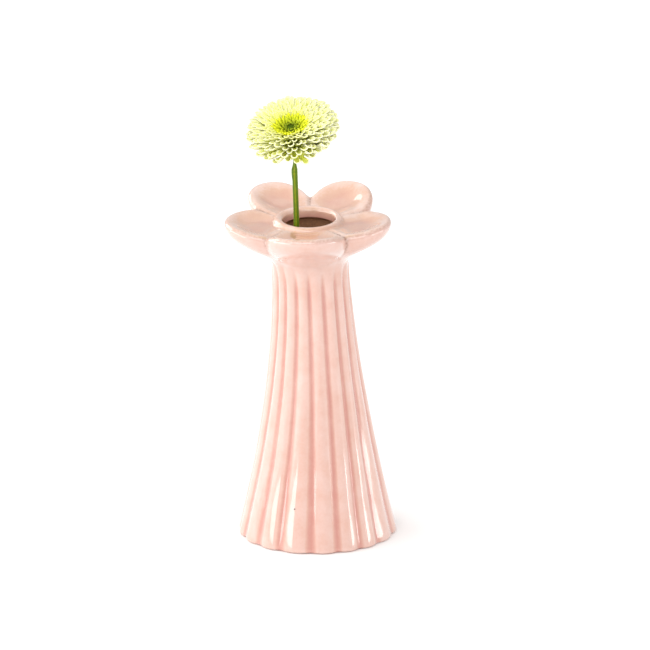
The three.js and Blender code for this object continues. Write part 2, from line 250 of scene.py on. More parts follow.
def set_all(piece, **values):
    """Stores a number that is the same all over a piece."""
    for name, value in values.items():
        set_values(piece, name, [value] * len(piece.data.vertices))


def dress(piece, *materials):
    """Gives a piece its materials and no others."""
    piece.data.materials.clear()
    for material in materials:
        piece.data.materials.append(material)


def hand_in(piece, slot, *nodes):
    """Puts a finished piece on the body in the place of its CAD nodes."""
    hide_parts(*nodes)
    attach(piece, "root")


# The vase's shape

Petal = namedtuple("Petal", "angle radius lift")
Notch = namedtuple("Notch", "valley stain")
Place = namedtuple("Place", "angle lift off_notch notch")
Ring = namedtuple("Ring", "radius z tilt pooling stain peach shift", defaults=(0.0, 0.2, 0.0, 0.0, 0.0))

# Turns and angles in degrees run anticlockwise, seen from above.
FOOT_ROUNDING = 1.6 * MM
FOOT_RECESS = 1.5 * MM
FLARE_POWER = 1.64
GROOVE_SHARPNESS = 10
GROOVE_SHARE = 0.45
GROOVE_FADE = (138 * MM, 158 * MM)
TWIST_AT_FOOT = -7.8
# How far each groove was cut off its even place at the foot.
GROOVE_DRIFT = (
    2.9, 2.9, 0.8, -1.7, 1.2, -0.6, 1.4, -2.1, 0.7,
    1.8, -1.2, 0.5, -1.6, 1.1, 0.4, -3.1, -1.4, -1.9,
)
LEAN = 3.2 * MM
LEAN_START = 45 * MM
LEAN_POWER = 1.6

PETALS = (
    Petal(-93, 21.5 * MM, 3.2 * MM),
    Petal(-18, 20 * MM, 1.2 * MM),
    Petal(52, 17.8 * MM, 6.2 * MM),
    Petal(121, 17.2 * MM, 5.2 * MM),
    Petal(198, 20 * MM, 1.2 * MM),
)
NOTCHES = (
    Notch(2.4 * MM, 1.0),
    Notch(2.5 * MM, 0.45),
    Notch(2.2 * MM, 0.8),
    Notch(0.8 * MM, 0.75),
    Notch(2.4 * MM, 0.5),
)
VALLEY_HALF_ANGLE = 15 * DEGREE
NOTCH_RADIUS = 32 * MM
UNDERSIDE_START = 150 * MM
FLANGE_FLOOR = 172.4 * MM
RIM_RISE = 3.4 * MM
RIM_WIDTH = 2 * MM
RIM_HEIGHT = 2.4 * MM
DISH_REACH = 13 * MM
NOTCH_INSET = 2 * MM
CREASE_DEPTH = 1.1 * MM
CREASE_HALF_ANGLE = 2.2 * DEGREE
CREASE_WIDTH = 0.55 * MM
RIM_STAIN = 0.9
FLANGE_TILT = 5 * DEGREE

# How thick the glaze lies, from 0 on the thinnest edge to 1 in the bottom of a groove.
RIB_POOLING = 0.15
RIM_POOLING = 0.1
DISH_POOLING = 0.55
COLLAR_POOLING = 0.3

COLLAR_TUBE = 2.2 * MM
MOUTH_SHIFT = 0.6 * MM
COLLAR_HEIGHT = 173.2 * MM
COLLAR_FOOT_RADIUS = 19.4 * MM
NECK_RADIUS = 13.8 * MM
NECK_BOTTOM = 169.8 * MM
HOLLOW_TOP = 168.6 * MM
HOLLOW_TOP_RADIUS = 17.2 * MM
FLOOR_THICKNESS = 6 * MM
FLOOR_ROUNDING = 5 * MM

# Rings of the neck that the glaze still covers.
GLAZED_NECK_RINGS = 2

COLUMNS = 180
HAND_WOBBLE = 0.22 * MM
WOBBLE_SIZE = 26 * MM


class VaseShape:
    """Gives each ring of the vase's skin its radius and height at any turn from the front."""

    def __init__(self, sizes):
        self.sizes = sizes
        self.notch_angles = [self.notch_angle(index) for index in range(len(PETALS))]
        self.place = lru_cache(maxsize=None)(self.find_place)

    def column_radius(self, z):
        climb = max(0.0, 1 - z / self.sizes.waist_height)
        flare = self.sizes.foot_radius - self.sizes.waist_radius
        return self.sizes.waist_radius + flare * climb**FLARE_POWER

    def petal_edge(self, petal, angle, inset):
        """Distance from the axis to a line inside one petal's outline, or 0 where the petal isn't met."""
        turn = angle - petal.angle * DEGREE
        centre = self.sizes.petal_reach - petal.radius
        square = (petal.radius - inset) ** 2 - (centre * math.sin(turn)) ** 2
        return centre * math.cos(turn) + math.sqrt(square) if square > 0 and math.cos(turn) > 0 else 0.0

    def next_angle(self, index):
        wrap = 360 if index + 1 == len(PETALS) else 0
        return (PETALS[(index + 1) % len(PETALS)].angle + wrap) * DEGREE

    def notch_angle(self, index):
        """The angle where the outlines of a petal and of the next one cross."""
        low = PETALS[index].angle * DEGREE
        high = self.next_angle(index)
        following = PETALS[(index + 1) % len(PETALS)]
        while high - low > 1e-9:
            middle = (low + high) / 2
            if self.petal_edge(PETALS[index], middle, 0) > self.petal_edge(following, middle, 0):
                low = middle
            else:
                high = middle
        return low

    def find_place(self, turn):
        """Where a share of the whole turn crosses the flange."""
        share = turn * len(PETALS)
        index = min(int(share), len(PETALS) - 1)
        along = share - index
        start = PETALS[index].angle * DEGREE
        notch = self.notch_angles[index]
        if along < 0.5:
            angle = lerp(start, notch, 2 * along)
        else:
            angle = lerp(notch, self.next_angle(index), 2 * along - 1)
        following = PETALS[(index + 1) % len(PETALS)]
        lift = lerp(PETALS[index].lift, following.lift, smoothstep(0.25, 0.75, along))
        return Place(angle, lift, abs(angle - notch), NOTCHES[index])

    def angle_at(self, turn, z):
        """The column follows the hand-cut grooves below and the petals above."""
        share = turn * len(GROOVE_DRIFT)
        rib = int(share) % len(GROOVE_DRIFT)
        drift = lerp(GROOVE_DRIFT[rib], GROOVE_DRIFT[(rib + 1) % len(GROOVE_DRIFT)], share % 1)
        below = FRONT + turn * 2 * math.pi + (TWIST_AT_FOOT + drift) * DEGREE
        return lerp(below, self.place(turn).angle, smoothstep(0, self.sizes.waist_height, z))

    def flute(self, turn):
        """0 on a rib's crest and 1 in a groove: a round rib between narrow rounded grooves."""
        off_crest = abs(math.cos(math.pi * (turn * self.sizes.ribs % 1)))
        return lerp(off_crest**2, off_crest**GROOVE_SHARPNESS, GROOVE_SHARE)

    def faded_flute(self, turn, z):
        """The flutes run out softly under the flange."""
        return self.flute(turn) * (1 - smoothstep(*GROOVE_FADE, z))

    def pooling(self, flute):
        """The glaze gathers in the bottom of a groove."""
        return lerp(RIB_POOLING, 1, smoothstep(0.4, 0.95, flute))

    def outline(self, angle, inset):
        """Distance from the axis to a line inside the whole flange's outline."""
        edges = [self.petal_edge(petal, angle, inset) for petal in PETALS]
        return max(NOTCH_RADIUS - inset, *edges)

    def petal_depth(self, radius, place):
        """How far inside its petal's edge a point of the flange lies. The notch line counts as an edge."""
        inside = NOTCH_RADIUS - radius
        for petal in PETALS:
            turn = place.angle - petal.angle * DEGREE
            centre = self.sizes.petal_reach - petal.radius
            offset = math.hypot(radius * math.cos(turn) - centre, radius * math.sin(turn))
            inside = max(inside, petal.radius - offset)
        return min(inside, radius * math.sin(place.off_notch) + NOTCH_INSET)

    def dish_height(self, radius, place):
        """Height of the flange's upper face, before the whole flange is tilted."""
        rim = 1 - smoothstep(RIM_WIDTH, DISH_REACH, self.petal_depth(radius, place))
        outward = smoothstep(COLLAR_FOOT_RADIUS, NOTCH_RADIUS, radius)
        reach = (radius - COLLAR_FOOT_RADIUS) / (self.sizes.petal_reach - COLLAR_FOOT_RADIUS)
        crease = CREASE_DEPTH * math.exp(-((place.off_notch / CREASE_HALF_ANGLE) ** 2))
        valley = place.notch.valley * outward * math.exp(-((place.off_notch / VALLEY_HALF_ANGLE) ** 2))
        return FLANGE_FLOOR + RIM_RISE * rim * (0.5 + 0.5 * outward) + place.lift * reach - crease - valley

    def stain(self, radius, place):
        """How much clay shows through in the crease between two petals."""
        return place.notch.stain * math.exp(-((radius * math.sin(place.off_notch) / CREASE_WIDTH) ** 2))

    def foot_ring(self, turn, degrees, inset):
        z = FOOT_ROUNDING * (1 - math.cos(degrees * DEGREE))
        rounding = FOOT_ROUNDING * (1 - math.sin(degrees * DEGREE))
        flute = self.flute(turn)
        radius = self.column_radius(FOOT_ROUNDING) - rounding - self.sizes.groove_depth * flute - inset
        return Ring(radius, z, 0, self.pooling(flute))

    def column_ring(self, turn, z):
        flute = self.faded_flute(turn, z)
        radius = self.column_radius(z) - self.sizes.groove_depth * flute
        return Ring(radius, z, 0, self.pooling(flute))

    def underside_ring(self, turn, t):
        """A ring of the smooth curve from the waist out to the petals' edge."""
        place = self.place(turn)
        edge = self.outline(place.angle, 0)
        crest = self.dish_height(self.outline(place.angle, RIM_WIDTH), place)
        waist = self.sizes.waist_radius
        points = (
            (waist, UNDERSIDE_START),
            (waist + 0.4 * MM, UNDERSIDE_START + 9 * MM),
            (edge - 1.6 * MM, crest - RIM_HEIGHT - 12 * MM),
            (edge, crest - RIM_HEIGHT),
        )
        weights = ((1 - t) ** 3, 3 * (1 - t) ** 2 * t, 3 * (1 - t) * t**2, t**3)
        radius = sum(weight * point[0] for weight, point in zip(weights, points))
        z = sum(weight * point[1] for weight, point in zip(weights, points))
        flute = self.faded_flute(turn, z)
        stain = self.stain(radius, place) * smoothstep(0.4, 1, t)
        return Ring(radius - self.sizes.groove_depth * flute, z, t, self.pooling(flute), stain)

    def rim_ring(self, turn, degrees):
        place = self.place(turn)
        inset = RIM_WIDTH * (1 - math.cos(degrees * DEGREE))
        crest = self.dish_height(self.outline(place.angle, RIM_WIDTH), place)
        z = crest - RIM_HEIGHT * (1 - math.sin(degrees * DEGREE))
        radius = self.outline(place.angle, inset)
        edge = RIM_STAIN * math.sin(degrees * DEGREE) ** 2 * math.cos(degrees * DEGREE)
        stain = max(self.stain(radius, place), edge)
        return Ring(radius, z, 1, RIM_POOLING, stain, smoothstep(20, 80, degrees))

    def dish_ring(self, turn, t):
        place = self.place(turn)
        radius = lerp(self.outline(place.angle, RIM_WIDTH), COLLAR_FOOT_RADIUS, t)
        deep = smoothstep(RIM_WIDTH, DISH_REACH, self.petal_depth(radius, place))
        pooling = lerp(RIM_POOLING, DISH_POOLING, deep)
        fade = smoothstep(COLLAR_FOOT_RADIUS, COLLAR_FOOT_RADIUS + 6 * MM, radius)
        stain = self.stain(radius, place) * fade
        return Ring(radius, self.dish_height(radius, place), 1, pooling, stain, 1.0)

    def collar_ring(self, degrees):
        """A ring of the collar's roll, from its outer foot over its top to the mouth."""
        radius = self.sizes.collar_radius + COLLAR_TUBE * math.cos(degrees * DEGREE)
        z = COLLAR_HEIGHT + COLLAR_TUBE * math.sin(degrees * DEGREE)
        pooling = COLLAR_POOLING - 0.15 * math.sin(degrees * DEGREE)
        return Ring(radius, z, 1, pooling, 0, 0.7, (1 - math.cos(degrees * DEGREE)) / 2)

    def hollow_rings(self):
        """The neck, its sharp lower edge, and the wall and rounded floor of the hollow."""
        wall = self.sizes.wall
        corner = FLOOR_THICKNESS + FLOOR_ROUNDING
        floor_radius = self.column_radius(corner) - wall
        rings = [
            Ring(NECK_RADIUS + 0.1 * MM, NECK_BOTTOM + 1.6 * MM, 1, 0.6, shift=1),
            Ring(NECK_RADIUS, NECK_BOTTOM + 0.25 * MM, 1, 0.8, shift=1),
            Ring(NECK_RADIUS + 0.2 * MM, NECK_BOTTOM, 1, 1, shift=1),
            Ring(HOLLOW_TOP_RADIUS - 1 * MM, HOLLOW_TOP + 0.3 * MM, 1, 1, shift=0.3),
            Ring(HOLLOW_TOP_RADIUS, HOLLOW_TOP - 1 * MM, 1, 1),
            Ring(HOLLOW_TOP_RADIUS, HOLLOW_TOP - 6 * MM, 0.7, 1),
        ]
        for height in (150, 135, 120, 105, 90, 75, 60, 46, 32, 20):
            rings.append(Ring(self.column_radius(height * MM) - wall, height * MM, 0, 1))
        for degrees in (0, 30, 60, 90):
            z = corner - FLOOR_ROUNDING * math.sin(degrees * DEGREE)
            rings.append(Ring(floor_radius - FLOOR_ROUNDING * (1 - math.cos(degrees * DEGREE)), z, 0, 1))
        rings.append(Ring(0, FLOOR_THICKNESS, 0, 1))
        return rings

    def rows(self):
        """All rings from the middle of the underside, over the skin and the flange, to the hollow's floor."""
        rows = [lambda turn: Ring(0, 0)]
        rows.append(lambda turn: self.foot_ring(turn, 0, FOOT_RECESS))
        rows += [lambda turn, d=d: self.foot_ring(turn, d, 0) for d in (0, 25, 50, 75)]
        heights = (2.4, 6, 11, 18, 26, 34, 43, 52, 62, 72, 82, 92, 102, 111, 119, 126, 132, 138, 144)
        rows += [lambda turn, z=z: self.column_ring(turn, z * MM) for z in heights]
        steps = (0, 0.1, 0.2, 0.3, 0.4, 0.5, 0.6, 0.7, 0.8, 0.88, 0.95)
        rows += [lambda turn, t=t: self.underside_ring(turn, t) for t in steps]
        rows += [lambda turn, d=d: self.rim_ring(turn, d) for d in (0, 18, 36, 54, 72, 90)]
        steps = (0.06, 0.13, 0.2, 0.28, 0.36, 0.45, 0.54, 0.63, 0.72, 0.81, 0.9, 1)
        rows += [lambda turn, t=t: self.dish_ring(turn, t) for t in steps]
        rows += [lambda turn, d=d: self.collar_ring(d) for d in (10, 40, 65, 90, 115, 140, 165, 180)]
        self.hollow_start = len(rows) + GLAZED_NECK_RINGS
        rows += [lambda turn, ring=ring: ring for ring in self.hollow_rings()]
        return rows

    def point(self, ring, turn):
        """A ring's point in space: twisted, leaned to the left and tilted with the flange."""
        angle = self.angle_at(turn, ring.z)
        climb = max(0.0, ring.z - LEAN_START) / (COLLAR_HEIGHT - LEAN_START)
        y = ring.radius * math.sin(angle)
        x = ring.radius * math.cos(angle) - LEAN * climb**LEAN_POWER + ring.shift * MOUTH_SHIFT
        return Vector((x, y, ring.z + ring.tilt * y * math.tan(FLANGE_TILT)))


class DAISY_OT_vase(Operator):
    """Spin the vase's profile, cut its flutes, press out its petals and hollow it"""

    bl_idname = "daisy.vase"
    bl_label = "Vase"

    def execute(self, context):
        shape = VaseShape(context.scene.daisy_vase)
        rows = shape.rows()
        profile = [(row(0).radius, 0, row(0).z) for row in rows]
        vase = draw_line("glazed_vase", profile)
        row_of = vase.data.attributes.new("row", "INT", "POINT")
        row_of.data.foreach_set("value", range(len(rows)))
        spin_line(vase, COLUMNS)
        dress(vase, pink_glaze(), bare_clay())
        self.press(vase, shape, rows)
        self.part_finishes(vase, shape.hollow_start)
        smooth(vase, 1)
        vase.data.attributes.remove(vase.data.attributes["row"])
        hand_in(vase, "pink_glaze", "vase")
        return {"FINISHED"}

    def press(self, vase, shape, rows):
        """Moves every vertex of the spun shape to its place on the fluted, petalled one."""
        row_of = vase.data.attributes["row"].data
        rings = []
        for vertex in vase.data.vertices:
            place = vertex.co
            turn = round(math.atan2(place.y, place.x) / (2 * math.pi) * COLUMNS) % COLUMNS / COLUMNS
            ring = rows[row_of[vertex.index].value](turn)
            vertex.co = shape.point(ring, turn)
            wobble = noise.noise(vertex.co / WOBBLE_SIZE) * smoothstep(0, 8 * MM, ring.z)
            vertex.co += vertex.co.xy.to_3d().normalized() * HAND_WOBBLE * wobble
            rings.append(ring)
        for name in ("peach", "pooling", "stain"):
            set_values(vase, name, [getattr(ring, name) for ring in rings])

    def part_finishes(self, vase, hollow_start):
        """The glaze stops at the neck's sharp lower edge: below it the dark brown clay paints the shade in
        the hollow.
        """
        row_of = vase.data.attributes["row"].data
        for face in vase.data.polygons:
            rows = [row_of[index].value for index in face.vertices]
            face.material_index = 1 if min(rows) >= hollow_start else 0


# The flower's shape

HEAD_CENTRE = Vector((-9.8, -15, 217.4)) * MM
GOLDEN_ANGLE = math.pi * (3 - math.sqrt(5))
RAY_PETALS = 210
SEPARATE_PETALS = 54
MIDDLE_PETALS = 76
RAY_LOWEST = 74 * DEGREE
RAY_HIGHEST = 37 * DEGREE
RAY_CROWDING = 0.8
RAY_LONGEST = 60 * DEGREE
RAY_SHORTENING = 50 * MM
LOW_RAY_SHORTENING = 60 * MM
RAY_LONGER_RIGHT = 0.7 * MM
RAY_LONGER_DEPTH = 1.1 * MM
RAY_BROADER_RIGHT = 0.35
RECEPTACLE_RADIUS = 7.1 * MM
RECEPTACLE_BOTTOM = -3.2 * MM
RECEPTACLE_TONE = 0.3
# One petal of the spiral droops by so many degrees, and chance leans and rolls each by about so many.
DROOPING_PETAL = 23
DROOP = 10
LEAN_CHANCE = 1.6
ROLL_CHANCE = 11
# The half-grown petals and the quills, from the outer ones to the inner ones: how long they are, how high
# their tips stand and how far they lean outwards in degrees. Quills are also this broad in millimetres.
SHORT_PETALS = 36
SHORT_REACH = 13 * MM
SHORT_LENGTH = (8.5 * MM, 6.5 * MM)
SHORT_TOP = (17 * MM, 16.2 * MM)
SHORT_LEAN = (34, 24)
QUILLS = 76
QUILL_REACH = 10.4 * MM
QUILL_LENGTH = (5.4, 2.4)
QUILL_BREADTH = (1.9, 1.1)
QUILL_TOP = (15.9 * MM, 14.4 * MM)
QUILL_LEAN = (48, 14)
TIGHT_BUDS = 40
BUD_REACH = 3.4 * MM
BUD_FOOT = 13.1 * MM
EYE_BUDS = 26
EYE_DOME = ((0, 0), (1.7, 0.1), (1.8, 0.6), (1.3, 1.1), (0.6, 1.3), (0, 1.35))
EYE_RADIUS = 1.9 * MM
EYE_BOTTOM = 12.8 * MM
EYE_BUD_REACH = 1.65 * MM
EYE_BUD_HEIGHT = 0.9 * MM
TEMPLATE_LENGTH = 21 * MM

STEM_X = -9.2 * MM
STEM_BEND = 0.45 * MM
STEM_FOOT_Y = 6 * MM
STEM_NECK_Y = -9.8 * MM
STEM_NECK_Z = 175 * MM
# Above this node the stem is a thinner neck.
NODE_HEIGHT = 206.2 * MM
NECK_SHARE = 0.52
SCAR_BELOW_NODE = 3 * MM
STEM_RIBS = 5
RIB_HEIGHT = 0.09 * MM
GRAIN_HEIGHT = 0.05 * MM
GRAIN_SIZE = 0.9 * MM
SCAR_HEIGHT = 0.45 * MM

# The receptacle's side: each ring's distance from the head's middle in millimetres and its angle from the
# head's axis in degrees.
RECEPTACLE_SIDE = ((7.1, 90), (9, 75), (10.6, 60), (11.2, 45), (12.2, 30), (12.7, 18), (12.8, 9))

# A kind of petal: how broad it is beside the outer ones, and how far its tip curls towards the head's axis
# or, below zero, away from it.
Kind = namedtuple("Kind", "breadth curl")
OUTER = Kind(1.0, 2.2 * MM)
MIDDLE = Kind(0.88, -1.4 * MM)
INNER = Kind(0.76, -3.2 * MM)
SHORT = Kind(0.66, -3.2 * MM)

# Each section of a petal: its share of the length, half its width and its depth as a channel, as shares of
# the petal's full width.
Section = namedtuple("Section", "share half_width depth")
SPOON = (
    Section(0, 0.17, 0.16),
    Section(0.2, 0.2, 0.16),
    Section(0.42, 0.28, 0.16),
    Section(0.62, 0.39, 0.23),
    Section(0.79, 0.48, 0.34),
    Section(0.91, 0.5, 0.36),
    Section(1, 0.42, 0.27),
)
CURL_POWER = 2.4
TIP_PULLS = ((SPOON[-2], 0.2), (SPOON[-1], 0.62))
ARC = [math.radians(degrees) for degrees in (-112, -75, -37, 0, 37, 75, 112)]


def head_matrix(sizes):
    """The head's own space: its middle at the origin and its axis along Z."""
    nod = Matrix.Rotation(-sizes.nod_left, 4, "Y") @ Matrix.Rotation(sizes.nod_forward, 4, "X")
    return Matrix.Translation(HEAD_CENTRE) @ nod


def ray_angle(index):
    """Angle of a petal's tip from the head's axis: the rows crowd closer towards the middle."""
    share = ((index + 0.5) / RAY_PETALS) ** RAY_CROWDING
    return math.acos(lerp(math.cos(RAY_LOWEST), math.cos(RAY_HIGHEST), share))


def ray_tip(sizes, angle, turn):
    """Distance from the head's middle to the tip of a petal of the spiral."""
    shorter = RAY_SHORTENING * (angle - RAY_LONGEST) ** 2
    shorter += LOW_RAY_SHORTENING * max(0.0, angle - RAY_LONGEST) ** 2
    longer = RAY_LONGER_RIGHT * math.cos(turn) + RAY_LONGER_DEPTH * math.sin(turn) ** 2
    return sizes.petal_reach - shorter + longer


def pull_petal(name, kind, sizes):
    """A petal drawn as an arc across its foot and pulled out section by section into an open channel."""
    width = sizes.petal_width * kind.breadth
    first = SPOON[0]
    arc = [
        (width * first.depth * (math.cos(t) - 0.5), width * first.half_width * math.sin(t), 0) for t in ARC
    ]
    petal = draw_line(name, arc)
    edit(petal)
    for before, after in zip(SPOON, SPOON[1:]):
        rise = (after.share - before.share) * TEMPLATE_LENGTH
        curl = kind.curl * (before.share**CURL_POWER - after.share**CURL_POWER)
        extrude((curl, 0, rise))
        middle = (-kind.curl * after.share**CURL_POWER, 0, after.share * TEMPLATE_LENGTH)
        growth = (after.depth / before.depth, after.half_width / before.half_width, 1)
        bpy.ops.transform.resize(value=growth, center_override=middle)
    bpy.ops.object.mode_set(mode="OBJECT")
    round_tip(petal, kind, width)
    apply_modifier(petal, "SOLIDIFY", thickness=sizes.petal_thickness * kind.breadth, offset=0)
    smooth(petal, 1)
    set_values(petal, "reach", [vertex.co.z / TEMPLATE_LENGTH for vertex in petal.data.vertices])
    set_values(petal, "throat", [throat_share(vertex, width) for vertex in petal.data.vertices])
    return petal


def round_tip(petal, kind, width):
    """Cuts a petal's tip into a scoop: its rims end before the middle of its channel."""
    for vertex in petal.data.vertices:
        share = vertex.co.z / TEMPLATE_LENGTH
        for section, pull in TIP_PULLS:
            if abs(share - section.share) < 0.01:
                across = (vertex.co.x + kind.curl * share**CURL_POWER) / (width * section.depth)
                vertex.co.z -= pull * width * max(0.0, (0.5 - across) / 1.4) ** 1.3


def throat_share(vertex, width):
    """How deep a point lies in a petal's channel: 1 along its inner middle and 0 on its rim and back."""
    share = vertex.co.z / TEMPLATE_LENGTH
    inner = smoothstep(0.1, 0.6, -vertex.normal.x)
    across = abs(vertex.co.y) / (0.5 * width * lerp(0.3, 1, smoothstep(0, 0.8, share)))
    return inner * max(0.0, 1 - across**2) * (1 - 0.7 * smoothstep(0.75, 1, share))


def copy_petal(template, name, matrix, youth, tone):
    """A copy of a petal with a mesh of its own, in its place on the head."""
    copy = bpy.data.objects.new(name, template.data.copy())
    bpy.context.collection.objects.link(copy)
    copy.data.transform(matrix)
    set_all(copy, youth=youth, tone=tone)
    return copy


def place_petal(head, turn, foot, lean, roll, scale):
    """Places a petal that stands on Z: its foot is a radius and a height, and it leans outwards."""
    spot = Matrix.Rotation(turn, 4, "Z") @ Matrix.Translation((foot[0], 0, foot[1]))
    own = Matrix.Rotation(lean, 4, "Y") @ Matrix.Rotation(roll, 4, "Z")
    return head @ spot @ own @ Matrix.Diagonal((*scale, 1))


def foot_under(radius, top, span, lean):
    """The radius and height of the foot of a leaning petal whose tip has this radius and height."""
    return (radius - span * math.sin(lean), top - span * math.cos(lean))


def ray_matrix(sizes, head, index, start, kind, chance):
    """The place of one petal of the spiral. Its foot leans so that its curled tip comes to its own angle."""
    angle = ray_angle(index)
    turn = index * GOLDEN_ANGLE
    span = (ray_tip(sizes, angle, turn) - start) * chance.uniform(0.96, 1.03)
    broad = (1 + RAY_BROADER_RIGHT * max(0.0, math.cos(turn))) * chance.uniform(0.9, 1.1)
    droop = DROOP if index == DROOPING_PETAL else 0
    lean = angle + math.atan(kind.curl * broad / span) + (droop + chance.gauss(0, LEAN_CHANCE)) * DEGREE
    foot = (start * math.sin(angle), start * math.cos(angle))
    scale = (broad, broad, span / TEMPLATE_LENGTH)
    return place_petal(head, turn, foot, lean, chance.gauss(0, ROLL_CHANCE) * DEGREE, scale)


def join_pieces(name, pieces):
    """Joins pieces into one and names it."""
    pick(pieces[0])
    for piece in pieces:
        piece.select_set(True)
    bpy.ops.object.join()
    joined = bpy.context.object
    joined.name = name
    return joined


class DAISY_OT_outer_petals(Operator):
    """Pull one spoon petal and set a copy of it in each place of the outer rows"""

    bl_idname = "daisy.outer_petals"
    bl_label = "Outer petals"

    def execute(self, context):
        sizes = context.scene.daisy_flower
        template = pull_petal("spoon_petal", OUTER, sizes)
        head = head_matrix(sizes)
        chance = random.Random(11)
        for index in range(SEPARATE_PETALS):
            matrix = ray_matrix(sizes, head, index, RECEPTACLE_RADIUS + 0.3 * MM, OUTER, chance)
            petal = copy_petal(template, f"ray_petal_{index + 1:02d}", matrix, 0.0, chance.random())
            dress(petal, petal_skin())
            hand_in(petal, "ray_petal", f"ray_floret_{index + 1:02d}")
        bpy.data.objects.remove(template)
        return {"FINISHED"}


class DAISY_OT_inner_head(Operator):
    """Build the receptacle with the inner rows of petals and the tight young ones of the middle"""

    bl_idname = "daisy.inner_head"
    bl_label = "Inner head"

    def execute(self, context):
        sizes = context.scene.daisy_flower
        head = head_matrix(sizes)
        chance = random.Random(23)
        middle_end = SEPARATE_PETALS + MIDDLE_PETALS
        pieces = [self.receptacle(head)]
        pieces += self.rows(sizes, head, MIDDLE, range(SEPARATE_PETALS, middle_end), chance)
        pieces += self.rows(sizes, head, INNER, range(middle_end, RAY_PETALS), chance)
        pieces += self.short_petals(sizes, head, chance)
        pieces += self.quills(head, chance)
        joined = join_pieces("inner_petals", pieces)
        dress(joined, petal_skin())
        hand_in(joined, "young_petal", "inner_head")
        return {"FINISHED"}

    def receptacle(self, head):
        """The dome that every petal grows from."""
        points = [(0, RECEPTACLE_BOTTOM), (2.2 * MM, RECEPTACLE_BOTTOM + 0.1 * MM), (5.6 * MM, -1 * MM)]
        for distance, degrees in RECEPTACLE_SIDE:
            side = distance * MM
            points.append((side * math.sin(degrees * DEGREE), side * math.cos(degrees * DEGREE)))
        points.append((EYE_RADIUS + 0.3 * MM, EYE_BOTTOM - 0.3 * MM))
        points.append((0, EYE_BOTTOM - 0.3 * MM))
        dome = draw_line("receptacle", [(radius, 0, z) for radius, z in points])
        spin_line(dome, 24)
        smooth(dome, 1)
        dome.data.transform(head)
        set_all(dome, reach=0.1, throat=0.0, youth=0.8, tone=RECEPTACLE_TONE)
        return dome

    def rows(self, sizes, head, kind, places, chance):
        """The inner rows of the spiral, for a range of its places."""
        template = pull_petal("inner_row", kind, sizes)
        petals = []
        for index in places:
            inward = smoothstep(SEPARATE_PETALS, RAY_PETALS, index)
            matrix = ray_matrix(sizes, head, index, RECEPTACLE_RADIUS - 0.6 * MM, kind, chance)
            petals.append(copy_petal(template, "inner_row", matrix, 0.3 * inward**2, chance.random()))
        bpy.data.objects.remove(template)
        return petals

    def short_petals(self, sizes, head, chance):
        """Half-grown petals that stand round the quills, lime with paler tips."""
        template = pull_petal("short_petal", SHORT, sizes)
        petals = []
        for index in range(SHORT_PETALS):
            share = (index + 0.5) / SHORT_PETALS
            radius = math.sqrt(lerp(SHORT_REACH**2, QUILL_REACH**2, share))
            span = lerp(*SHORT_LENGTH, share)
            top = lerp(*SHORT_TOP, share) + chance.gauss(0, 0.35) * MM
            lean = (lerp(*SHORT_LEAN, share) + chance.gauss(0, 4)) * DEGREE
            foot = foot_under(radius, top, span, lean)
            broad = chance.uniform(0.85, 1.1)
            lean += math.atan(SHORT.curl * broad / span)
            turn = (RAY_PETALS + index) * GOLDEN_ANGLE
            scale = (broad, broad, span / TEMPLATE_LENGTH)
            matrix = place_petal(head, turn, foot, lean, chance.gauss(0, 12) * DEGREE, scale)
            petals.append(copy_petal(template, "short", matrix, lerp(0.3, 0.45, share), chance.random()))
        bpy.data.objects.remove(template)
        return petals

    def quills(self, head, chance):
        """Closed pointed quills that spread from the eye, and round buds close to it."""
        template = self.quill_template()
        petals = []
        for index in range(QUILLS):
            share = (index + 0.5) / QUILLS
            radius = math.sqrt(lerp(QUILL_REACH**2, BUD_REACH**2, share))
            inward = smoothstep(QUILL_REACH, BUD_REACH, radius)
            lean = (lerp(*QUILL_LEAN, inward) + chance.gauss(0, 5)) * DEGREE
            size = lerp(*QUILL_LENGTH, inward) * chance.uniform(0.85, 1.15)
            top = lerp(*QUILL_TOP, inward) + chance.gauss(0, 0.25) * MM
            foot = foot_under(radius, top, size * MM, lean)
            broad = lerp(*QUILL_BREADTH, inward) * chance.uniform(0.85, 1.15)
            turn = (RAY_PETALS + SHORT_PETALS + index) * GOLDEN_ANGLE
            matrix = place_petal(head, turn, foot, lean, chance.uniform(0, 6), (broad, broad, size))
            petals.append(copy_petal(template, "quill", matrix, lerp(0.5, 0.85, inward), chance.random()))
        for index in range(TIGHT_BUDS):
            share = (index + 0.5) / TIGHT_BUDS
            radius = math.sqrt(lerp((EYE_RADIUS + 0.1 * MM) ** 2, BUD_REACH**2, share))
            scale = (0.76, 0.76, chance.uniform(1.0, 1.5))
            matrix = place_petal(head, index * GOLDEN_ANGLE, (radius, BUD_FOOT), 0.2, 0, scale)
            petals.append(copy_petal(template, "bud", matrix, 1.0, chance.random()))
        bpy.data.objects.remove(template)
        return petals

    def quill_template(self):
        """A closed quill, one millimetre long and about one across, that ends in a blunt point."""
        deselect_all()
        bpy.ops.mesh.primitive_circle_add(vertices=6, radius=0.28 * MM, fill_type="NGON")
        quill = bpy.context.object
        edit(quill)
        for rise, scale in ((0.4, 1.5), (0.36, 1.2), (0.16, 0.66), (0.08, 0.35)):
            extrude((0, 0, rise * MM))
            bpy.ops.transform.resize(value=(scale, scale, 1))
        close_shell()
        set_values(quill, "reach", [vertex.co.z / MM for vertex in quill.data.vertices])
        set_all(quill, throat=0.0)
        smooth(quill, 1)
        return quill


